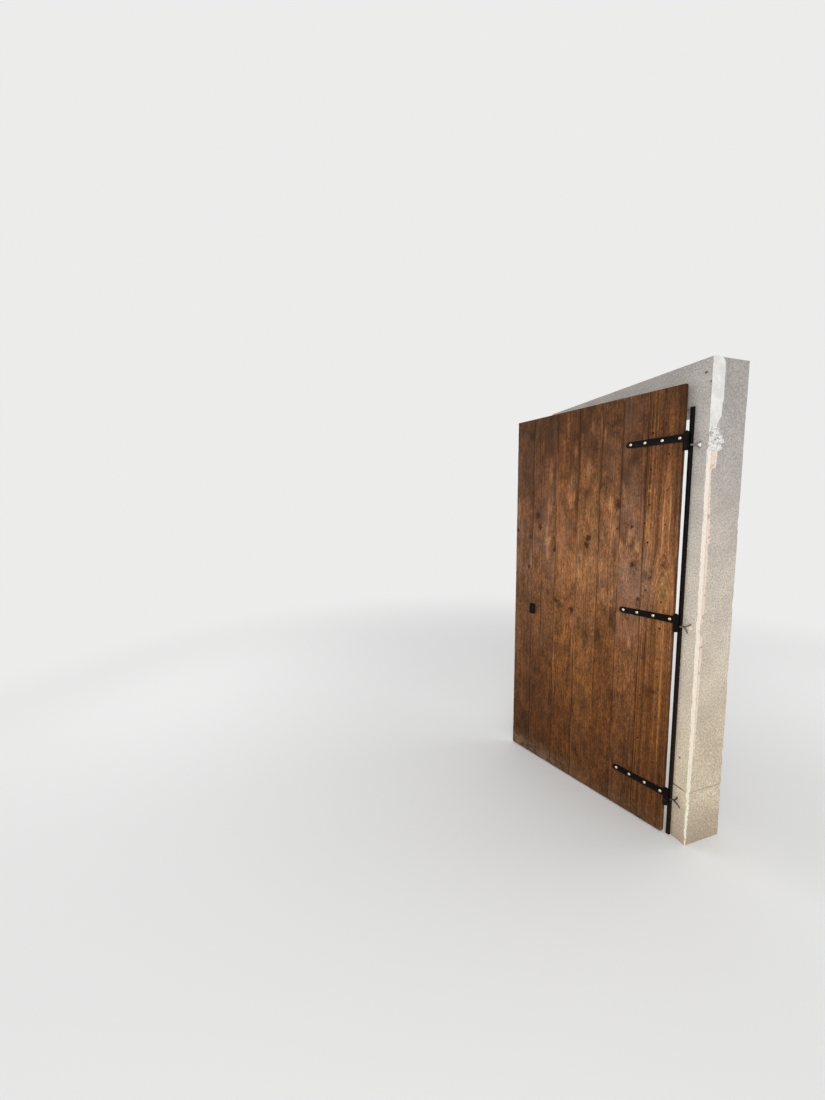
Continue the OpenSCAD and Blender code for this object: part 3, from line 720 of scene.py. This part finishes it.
black_iron = iron_finish("black_iron", (0.0, (9, 7, 7)), (2.0, (6, 5, 6)))
bar_iron = iron_finish("bar_iron", (0.0, (36, 24, 17)), (0.9, (27, 19, 16)),
                       (1.5, (9, 7, 9)))
lock_iron = iron_finish("lock_iron", (0.0, (40, 30, 24)), (2.0, (46, 38, 33)))
nail_iron = iron_finish("nail_iron", (0.0, (20, 12, 8)), (2.0, (16, 9, 6)))
screw_metal = bare_metal_finish("screw_metal", srgb(238, 228, 204), srgb(206, 190, 158), 0.2, 0.4)
TIE_TONES = {"top": srgb(158, 154, 146), "middle": srgb(146, 130, 110), "bottom": srgb(88, 80, 66)}
zinc = {height: bare_metal_finish(f"zinc_{height}", tone, times(tone, 0.40), 0.5, 0.7, 0.2)
        for height, tone in TIE_TONES.items()}
print("metals")

# %% [markdown]
# Most pieces start from the frame's own solid, because its size is right. What it lacks is
# handling: real iron and timber have no razor edges. A node's mesh is loose triangles, so a copy
# is merged, its flat faces are joined, and then a bevel operator can find the true edges.

# %% Copies of the frame's solids
LEAF_NODES = frame["record"]["behaviour"]["bodies"]["leaf"]


def copy_of(name):
    """A bmesh of a node with whole faces, flat on the bench if it belongs to the leaf"""
    bm = bmesh.new()
    bm.from_mesh(nodes[name].data)
    bmesh.ops.remove_doubles(bm, verts=bm.verts, dist=0.005 * MM)
    bmesh.ops.dissolve_limit(bm, angle_limit=radians(0.5), verts=bm.verts, edges=bm.edges)
    if name in LEAF_NODES:
        bmesh.ops.transform(bm, matrix=unswing, verts=bm.verts)
    return bm


def soften(bm, width, keep=lambda edge: True):
    """Rounds the sharp edges of a solid"""
    sharp = [e for e in bm.edges if e.is_manifold and e.calc_face_angle() > radians(40) and keep(e)]
    bmesh.ops.bevel(bm, geom=sharp, offset=width, segments=2, affect="EDGES",
                    profile=0.5, material=-1, clamp_overlap=False)
    return bm


def runs_along(edge, axis):
    return abs((edge.verts[1].co - edge.verts[0].co).normalized()[axis]) > 0.98


def split_along(bm, axis, step):
    """Cuts the long edges that run along an axis into lengths of about a step"""
    parallel = [e for e in bm.edges if runs_along(e, axis)]
    longest = max(e.calc_length() for e in parallel)
    long_ones = [e for e in parallel if e.calc_length() > 0.6 * longest]
    bmesh.ops.subdivide_edges(bm, edges=long_ones, cuts=max(1, round(longest / step) - 1),
                              use_grid_fill=True)


def slice_at(bm, x):
    """Cuts every face that crosses the plane at an X, and takes nothing away"""
    bmesh.ops.bisect_plane(bm, geom=bm.verts[:] + bm.edges[:] + bm.faces[:],
                           plane_co=(x, 0, 0), plane_no=(1, 0, 0))


def finish_piece(name, bm, finish, body, replaces=()):
    """Makes the bmesh an object that rides on its body, off the bench if that is the leaf"""
    if body == "leaf":
        bmesh.ops.transform(bm, matrix=swing, verts=bm.verts)
    mesh = bpy.data.meshes.new(name)
    bm.to_mesh(mesh)
    bm.free()
    mesh.materials.append(finish)
    mesh.shade_smooth()
    mesh.set_sharp_from_angle(angle=radians(38))
    piece = bpy.data.objects.new(name, mesh)
    bpy.context.scene.collection.objects.link(piece)
    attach(piece, body)
    if replaces:
        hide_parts(*replaces)
    print(f"{name}: {sum(len(p.vertices) - 2 for p in mesh.polygons)} triangles")


# %% [markdown]
# The five stones are sawn blocks. Their free arrises have been knocked for a century, so they
# are rounded and chipped, while the edges where two stones meet stay tight. Fine cuts along the
# block give the noise below enough points to work with. Points only ever move inwards, because
# wear takes stone away.

# %% Stones
ARRIS_ROUND, CHIP_DEPTH, CHIP_REACH, DRESSING = 2.4 * MM, 4.5 * MM, 7 * MM, 0.5 * MM
STONE_CUTS = ((2, 9 * MM), (0, 8 * MM), (1, 12 * MM))


def wear_block(bm, box, axes):
    """Chips a block's arrises and makes its faces uneven, where the faces across axes are free"""
    lo, hi = box
    for v in bm.verts:
        inward, near = Vector(), 0
        for axis in axes:
            if v.co[axis] - lo[axis] < CHIP_REACH:
                inward[axis], near = 1.0, near + 1
            elif hi[axis] - v.co[axis] < CHIP_REACH:
                inward[axis], near = -1.0, near + 1
        if near == 0:
            continue
        depth = DRESSING * (0.5 + 0.5 * noise.noise(v.co * 14))
        if near >= 2:
            depth += CHIP_DEPTH * max(0.0, noise.fractal(v.co * 26, 1.0, 2.0, 3))
        v.co += inward.normalized() * depth


def stone_block(name, arris_axis, axes):
    bm = copy_of(name)
    box = box_of([v.co.copy() for v in bm.verts])

    def is_free(edge):
        """Along the block and, on the lintel, not where it beds on the jambs"""
        bedded = name == "lintel" and edge.verts[0].co.z < OPENING_H + MM
        return runs_along(edge, arris_axis) and not bedded

    soften(bm, ARRIS_ROUND, keep=is_free)
    for axis, step in STONE_CUTS:
        split_along(bm, axis, step)
    wear_block(bm, box, axes)
    finish_piece(name + "_stone", bm, stone, "surround", [name])


for name in ("near_plinth", "far_plinth", "near_jamb", "far_jamb"):
    stone_block(name, 2, (0, 1))
stone_block("lintel", 0, (1,))

# %% [markdown]
# The lime coats are thin skins with torn edges. Each is a grid that is laid on the side of the
# stone, row by row: a row's width is the coat's depth at that height, made ragged with noise,
# and its points stand off the stone by the coat's thickness. The far side is the same skin
# mirrored, which turns it inside out, so its normals are recalculated.

# %% Coats on the returns
def side_of_stone(z):
    """X of a jamb's outer side, which leans out towards the floor"""
    return HEAD_X + (FOOT_X - HEAD_X) * max(0.0, 1 - z / OPENING_H)


LEAST_WIDTH, LEAST_STAND, CONTACT = 2 * MM, 0.3 * MM, 0.05 * MM


def coat(name, width_at, thick, lumps, ragged, step=3.0):
    """A skin of lime between a node's heights, width_at(z) deep. The other sizes are in mm"""
    lo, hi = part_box(name)
    rows = round((hi.z - lo.z) / (step * MM))
    columns = round((hi.y - lo.y) / (step * MM))
    bm = bmesh.new()
    bmesh.ops.create_grid(bm, x_segments=columns, y_segments=rows, size=0.5)
    for v in bm.verts:
        share, z = v.co.x + 0.5, lo.z + (v.co.y + 0.5) * (hi.z - lo.z)
        tear = noise.fractal(Vector((0.0, 3.0, z * 60)), 0.8, 2.0, 4) * ragged * MM
        y = share * max(LEAST_WIDTH, width_at(z) + tear)
        lump = lumps * MM * noise.fractal(Vector((0, y, z)) * 70, 0.9, 2.0, 4)
        stand = thick * MM * (1 - 0.75 * share ** 3) + lump
        v.co = (side_of_stone(z) + max(LEAST_STAND, stand), max(0.0, y), z)
    skin = bm.faces[:]
    walls = bmesh.ops.extrude_face_region(bm, geom=skin)["geom"]
    for v in (item for item in walls if isinstance(item, bmesh.types.BMVert)):
        v.co.x = side_of_stone(v.co.z) + CONTACT
    bmesh.ops.recalc_face_normals(bm, faces=bm.faces)
    return bm


def both_sides(kind, finish, slot, width_at, **shape):
    for side, flip in (("near", 1), ("far", -1)):
        bm = coat("near_" + kind, width_at, **shape)
        bmesh.ops.scale(bm, vec=(flip, 1, 1), verts=bm.verts)
        bmesh.ops.recalc_face_normals(bm, faces=bm.faces)
        finish_piece(f"{side}_{kind}_coat", bm, finish, "surround", [f"{side}_{kind}"])


def between_marks(z, marks):
    """Width at a height, from a few marks of (height, width) in mm"""
    z = z / MM
    for (z0, w0), (z1, w1) in zip(marks, marks[1:]):
        if z <= z1:
            return MM * (w0 + (w1 - w0) * max(0.0, z - z0) / (z1 - z0))
    return MM * marks[-1][1]


HEAD_TOP, HEAD_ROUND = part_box("near_head_render")[1].z, 28 * MM


def head_width(z):
    """The white coat: a rounded top corner, and a foot that is cut back at a slant"""
    over = min(HEAD_ROUND, max(0.0, z - (HEAD_TOP - HEAD_ROUND)))
    body = between_marks(z, ((1897, 40), (1912, 46), (1946, 66), (1996, 67), (2008, 72)))
    return body - HEAD_ROUND + (HEAD_ROUND ** 2 - over ** 2) ** 0.5


def mortar_width(z):
    return between_marks(z, ((1797, 58), (1812, 80), (1838, 86), (1862, 78), (1880, 62),
                             (1897, 55)))


def side_width(z):
    """The cream coat: two strokes wide under the mortar, then a strip that narrows to the floor"""
    return between_marks(z, ((0, 3), (60, 6), (130, 9), (180, 13), (255, 9), (262, 16), (400, 18),
                             (470, 28), (900, 34), (985, 33), (1000, 15), (1042, 14), (1060, 34),
                             (1340, 37), (1380, 30), (1420, 41), (1700, 24), (1722, 30),
                             (1730, 52), (1797, 56)))


both_sides("head_render", white_lime, "white_render", head_width,
           thick=3.2, lumps=0.6, ragged=0.8)
both_sides("mortar", rough_mortar, "mortar", mortar_width,
           thick=3.4, lumps=5.0, ragged=12.0, step=2.5)
both_sides("side_render", cream_lime, "cream_render", side_width,
           thick=3.0, lumps=1.2, ragged=4.0)

# %% [markdown]
# A board is a long prism in tongue and groove, and its copy from the frame has that section
# already. Planing and a hundred summers leave it slightly cupped, with its arrises dented here
# and there, which is why some joints in an old door show dark and others pale. Cuts across and
# along the board give points to push, again only inwards.

# %% Boards
RIM_ROUND, CUTS_ACROSS, CUT_STEP = 0.5 * MM, 8, 11 * MM
CUP, WAVE, DENT_DEPTH, DENT_REACH = 0.5 * MM, 0.35 * MM, 2.4 * MM, 4 * MM


def wear_board(bm, start, end, seed):
    mid_y = (leaf_lo.y + leaf_hi.y) / 2
    middle, half = (start + end) / 2, (end - start) / 2
    for v in bm.verts:
        side = 1 if v.co.y < mid_y else -1
        depth = abs(v.co.y - (leaf_lo.y if side > 0 else leaf_hi.y))
        if depth > FACE_DEPTH:
            continue
        place = Vector((v.co.x * 9, seed + side, v.co.z * 1.6))
        cup = CUP * ((v.co.x - middle) / half) ** 2
        wave = WAVE * (0.5 + 0.5 * noise.noise(place))
        v.co.y += side * (cup + wave)
        rim = min(abs(v.co.x - start), abs(end - v.co.x))
        if rim < DENT_REACH:
            dent = max(0.0, noise.fractal(Vector((seed, v.co.x * 5, v.co.z * 22)), 0.9, 2.0, 3))
            v.co.y += side * DENT_DEPTH * dent * (1 - rim / DENT_REACH)


def plank(name, seed):
    start, end = face_edges(name)
    bm = copy_of(name)

    def on_rim(edge):
        y = edge.verts[0].co.y
        return runs_along(edge, 2) and min(abs(y - leaf_lo.y), abs(y - leaf_hi.y)) < 0.1 * MM

    soften(bm, RIM_ROUND, keep=on_rim)
    for i in range(1, CUTS_ACROSS + 1):
        slice_at(bm, start + (end - start) * i / (CUTS_ACROSS + 1))
    split_along(bm, 2, CUT_STEP)
    wear_board(bm, start, end, seed)
    finish_piece(name + "_plank", bm, board_finishes[name], "leaf", [name])


for number, name in enumerate(BOARDS):
    plank(name, 5.3 * number)

# %% [markdown]
# The timbers across the back are already right in the frame, chamfers and all, so they stay as
# they are and only get their finish. The same goes for the bar, the lock case and its keeper.

# %% Pieces that keep their shape
def dress(name, finish):
    mesh = nodes[name].data
    mesh.materials.clear()
    mesh.materials.append(finish)


for name, finish in back_finishes.items():
    dress(name, finish)
dress("hanging_post", bar_iron)
for name in ("rim_lock", "lock_keeper"):
    dress(name, lock_iron)
print("kept as they are:", sum(not n.hide_render for n in nodes.values()), "nodes")

# %% [markdown]
# Straps and pintles were forged and filed, so their edges are rounded by half a millimetre, and
# the ties were clipped from thin bar, so theirs are rounded by less. It is a small thing, but it
# is what draws a thin line of light along black iron.

# %% Straps, pintles, plate and ties
FILED, CLIPPED = 0.5 * MM, 0.35 * MM


def forged(name, body, metal="iron", finish=black_iron, width=FILED):
    finish_piece(f"{name}_{metal}", soften(copy_of(name), width), finish, body, [name])


for height in ("top", "middle", "bottom"):
    forged("strap_" + height, "leaf")
    forged("pintle_" + height, "surround")
    forged("wall_tie_" + height, "surround", "zinc", zinc[height], CLIPPED)
forged("keyhole_plate", "leaf")

# %% [markdown]
# Four slotted screws with domed heads hold each strap. A dome is a short arc turned about the
# screw's axis. The slot is made by slicing the dome beside its middle twice and pushing the
# strip between the slices down.

# %% Screws
SCREW_STEPS = (11.3, 83.7, 158.5, 224.6)
SLOT_TURNS = {"top": (40, 12, 75, 60), "middle": (15, 50, 30, 80), "bottom": (65, 25, 5, 48)}
HEAD_D, HEAD_H, SLOT_W, SLOT_DEPTH = 14.0, 4.2, 1.8, 1.6


def screw_head():
    """A domed head with its foot at Z 0, in mm"""
    bm = bmesh.new()
    angles = [pi / 2 * i / 6 for i in range(7)]
    chain = [bm.verts.new((HEAD_D / 2 * cos(a), 0, HEAD_H * sin(a))) for a in angles]
    edges = [bm.edges.new(pair) for pair in zip(chain, chain[1:])]
    bmesh.ops.spin(bm, geom=chain + edges, axis=(0, 0, 1), angle=2 * pi, steps=24, use_merge=True)
    bmesh.ops.remove_doubles(bm, verts=bm.verts, dist=0.001)
    for side in (-1, 1):
        slice_at(bm, side * SLOT_W / 2)
    floor_faces = [f for f in bm.faces if abs(f.calc_center_median().x) < SLOT_W / 2]
    sunk = bmesh.ops.extrude_face_region(bm, geom=floor_faces)["geom"]
    bmesh.ops.translate(bm, vec=(0, 0, -SLOT_DEPTH),
                        verts=[g for g in sunk if isinstance(g, bmesh.types.BMVert)])
    bmesh.ops.recalc_face_normals(bm, faces=bm.faces)
    return bm


def joined(place_list, maker):
    """Copies of a small bmesh, made in mm, at several places and turns, as one bmesh"""
    together = bmesh.new()
    for matrix in place_list:
        one = maker()
        bmesh.ops.transform(one, matrix=matrix @ Matrix.Scale(MM, 4), verts=one.verts)
        mesh = bpy.data.meshes.new("part")
        one.to_mesh(mesh)
        one.free()
        together.from_mesh(mesh)
        bpy.data.meshes.remove(mesh)
    return together


FACING_ROOM = Matrix.Rotation(pi / 2, 4, "X")
STRAP_AXIS = 17 * MM
for height, turns in SLOT_TURNS.items():
    lo, hi = closed_box("strap_" + height)
    flat_end = [unswing @ v.co for v in nodes["strap_" + height].data.vertices]
    face = min(p.y for p in flat_end if p.x < lo.x + 30 * MM)
    spots = [Matrix.Translation((leaf_hi.x - step * MM, face, lo.z + STRAP_AXIS)) @ FACING_ROOM
             @ Matrix.Rotation(radians(slot), 4, "Z") for step, slot in zip(SCREW_STEPS, turns)]
    finish_piece(f"screws_{height}", joined(spots, screw_head), screw_metal, "leaf")

# %% [markdown]
# Old nails show as small dark heads, driven a little below the face. They are tiny and there
# are many, so they are one mesh of low domes with few sides. Two rows run down the board at the
# hinge edge, four stray ones sit beside them, and a pair holds each board to each ledge, except
# where the straps lie.

# %% Nails
ROWS = ((801, (1905, 1738, 1575, 1397, 1167, 830, 640, 420)),
        (874, (1890, 1801, 1640, 1483, 1295, 1121, 996, 760, 560, 330)))
STRAYS = ((783, 1488), (823, 1234), (723, 1010), (705, 1478))
ROW_D, STRAY_D, LEDGE_NAIL_D = 10.0, 8.4, 5.0
SUNK, STRAP_REACH = 0.3, 250 * MM


def cone(bm, sides, foot, top, tall, place=Matrix()):
    """Adds a cone with its top cut off. foot and top are its radii"""
    bmesh.ops.create_cone(bm, cap_ends=True, segments=sides, radius1=foot, radius2=top,
                          depth=tall, matrix=place)
    return bm


def nail_head():
    """A low dome 1 mm wide"""
    return cone(bmesh.new(), sides=10, foot=0.5, top=0.3, tall=0.8)


FACING_BACK = Matrix.Rotation(-pi / 2, 4, "X")
clenches = []
nail_places = [(s, z, ROW_D) for s, heights in ROWS for z in heights]
nail_places += [(s, z, STRAY_D) for s, z in STRAYS]
for ledge in ("ledge_top", "ledge_middle", "ledge_bottom"):
    lo, hi = closed_box(ledge)
    for board in BOARDS:
        start, end = face_edges(board)
        board_lo, board_hi = closed_box(board)
        for share, lift in ((0.27, 0.3), (0.73, 0.7)):
            x, z = start + share * (end - start), lo.z + lift * (hi.z - lo.z)
            if board_lo.z < z < board_hi.z and x < leaf_hi.x - STRAP_REACH:
                nail_places.append(((x - leaf_lo.x) / MM, z / MM, LEDGE_NAIL_D))
                clenches.append(Matrix.Translation((x, hi.y, z)) @ FACING_BACK)
nail_spots = [Matrix.Translation(on_leaf(s, z, -SUNK)) @ FACING_ROOM
              @ Matrix.Diagonal((wide, wide, 1, 1)) for s, z, wide in nail_places]
finish_piece("nails", joined(nail_spots, nail_head), nail_iron, "leaf")

# %% [markdown]
# The nails through the ledges are longer than the wood is thick, so their points were bent over
# along the grain at the back, which is called clenching. The lock case at the back is riveted
# iron, and a drop cover hangs over its keyhole.

# %% Clenched points and the lock's rivets
def clench():
    """A tapering nail point, 15 mm long, that lies half sunk in the wood"""
    return cone(bmesh.new(), sides=10, foot=1.9, top=0.6, tall=15,
                place=Matrix.Rotation(pi / 2, 4, "Y"))


def drop_cover():
    """A pear-shaped cover, 24 mm long, on its pivot"""
    bm = bmesh.new()
    for up, height, radius in ((0, 0.5, 6.5), (9, 0.5, 4.5), (10, 1.4, 2.2)):
        cone(bm, sides=20, foot=radius, top=radius - 0.3, tall=1.0,
             place=Matrix.Translation((0, up, height)))
    return bm


finish_piece("clenched_nails", joined(clenches, clench), nail_iron, "leaf")
RIVET_INSET, RIVET_D, RIVET_TALL, COVER_INSET = 11 * MM, 8, 3, 20 * MM
lock_lo, lock_hi = closed_box("rim_lock")
lock_mid = (lock_lo + lock_hi) / 2
half_w = (lock_hi.x - lock_lo.x) / 2 - RIVET_INSET
half_h = (lock_hi.z - lock_lo.z) / 2 - RIVET_INSET
rivets = [Matrix.Translation((lock_mid.x + i * half_w, lock_hi.y, lock_mid.z + j * half_h))
          @ FACING_BACK @ Matrix.Diagonal((RIVET_D, RIVET_D, RIVET_TALL, 1))
          for i in (-1, 1) for j in (-1, 1)]
finish_piece("lock_rivets", joined(rivets, nail_head), zinc["bottom"], "leaf")
plate_lo, plate_hi = closed_box("keyhole_plate")
cover_at = Matrix.Translation((plate_lo.x + COVER_INSET, lock_hi.y, lock_mid.z)) @ FACING_BACK
finish_piece("lock_cover", joined([cover_at @ Matrix.Rotation(pi, 4, "Z")], drop_cover),
             black_iron, "leaf")

# %% [markdown]
# The last two small things: the dark inside of the keyhole, which is a plug of shadow just
# behind the plate, and the dabs of plaster that were pressed into the forks of two of the ties.

# %% Keyhole and plaster dabs
shadow = Finish("keyhole_shadow")
shadow_paint = shadow.surface(
    Base_Color=shadow.mix(srgb(8, 7, 7), srgb(20, 17, 15), shadow.noise(shadow.here(), 300)),
    Roughness=0.9)
PLUG_R, PLUG_THICK, PLUG_OUT, PLUG_TALL = 8.5 * MM, 1.0 * MM, 0.6 * MM, 1.45
plate_mid = (plate_lo + plate_hi) / 2
plug_at = Matrix.Translation((plate_mid.x, leaf_lo.y - PLUG_OUT, plate_mid.z)) @ FACING_ROOM
plug = cone(bmesh.new(), sides=24, foot=PLUG_R, top=PLUG_R, tall=PLUG_THICK,
            place=plug_at @ Matrix.Diagonal((1, PLUG_TALL, 1, 1)))
finish_piece("keyhole_inside", plug, shadow_paint, "leaf")


def dab(width, height, seed):
    """A low lump of plaster that faces the room, in mm"""
    bm = bmesh.new()
    bmesh.ops.create_grid(bm, x_segments=18, y_segments=18, size=1.0)
    for v in bm.verts:
        r = min(1.0, v.co.length)
        if v.co.length > 1:
            v.co.normalize()
        edge = 1 + 0.3 * noise.noise(v.co * 1.7 + Vector((seed, 0, 0)))
        lump = 0.7 + 0.3 * noise.noise(v.co * 3.1 + Vector((0, seed, 0)))
        v.co = (v.co.x * width / 2 * edge, v.co.y * height / 2 * edge,
                DAB_THICK * lump * (1 - r ** 3))
    return bm


POST_FACE_X, DAB_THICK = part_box("hanging_post")[1].x, 1.3
DABS = (("top", 26, 5, (19, 15), 3.0), ("middle", 36, -1, (15, 15), 6.0))
for height, along_x, drop, size, seed in DABS:
    stem = [v.co.z for v in nodes["wall_tie_" + height].data.vertices if v.co.x < POST_FACE_X + MM]
    stem_z = (min(stem) + max(stem)) / 2
    place = Matrix.Translation((POST_FACE_X + along_x * MM, -0.1 * MM, stem_z - drop * MM))
    plaster = joined([place @ FACING_ROOM], lambda: dab(*size, seed))
    finish_piece(f"plaster_{height}", plaster, dab_lime, "surround")
